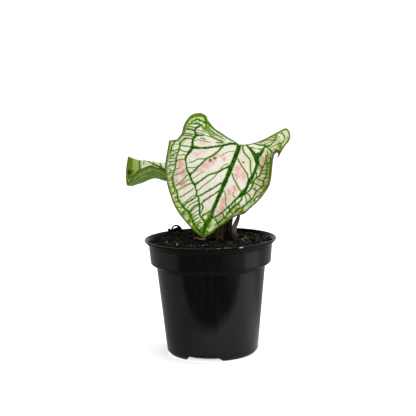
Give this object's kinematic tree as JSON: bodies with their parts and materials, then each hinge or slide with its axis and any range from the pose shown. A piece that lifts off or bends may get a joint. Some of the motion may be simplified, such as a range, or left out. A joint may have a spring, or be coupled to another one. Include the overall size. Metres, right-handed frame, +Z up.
{
  "type": "potted caladium",
  "caption": "Young caladium with heart-shaped variegated leaves on slender stalks, growing from peat soil in a round black nursery pot.",
  "frame": {"origin": "on the pot's axis, in the plane that the pot stands on", "axes": "+Z up along the pot's axis, -Y towards the side that the front leaf faces, +X to that viewer's right"},
  "size_m": [0.1402, 0.1234, 0.1954],
  "materials": {
    "pot_plastic": "moulded black plastic with a low sheen",
    "peat": "dark damp peat with pale chips",
    "tuber_skin": "rough corky brown skin",
    "front_leaf": "cream leaf with green veins and pink blotches, soft sheen",
    "back_leaf": "pale green leaf with dark veins and a grey-green underside",
    "petiole": "smooth dark purple-brown stalk",
    "shoot": "mauve-brown rolled young leaf with fine stripes",
    "sheath": "dry straw-brown sheath with lengthwise stripes",
    "root": "dark dry root"
  },
  "bodies": {
    "root": {"pot": "pot_plastic", "soil": "peat", "tuber": "tuber_skin", "front_leaf_blade": "front_leaf", "front_leaf_petiole": "petiole", "back_leaf_blade": "back_leaf", "back_leaf_petiole": "petiole", "rolled_shoot": "shoot", "pale_sheath": "sheath", "root_loop": "root"}
  },
  "joints": []
}
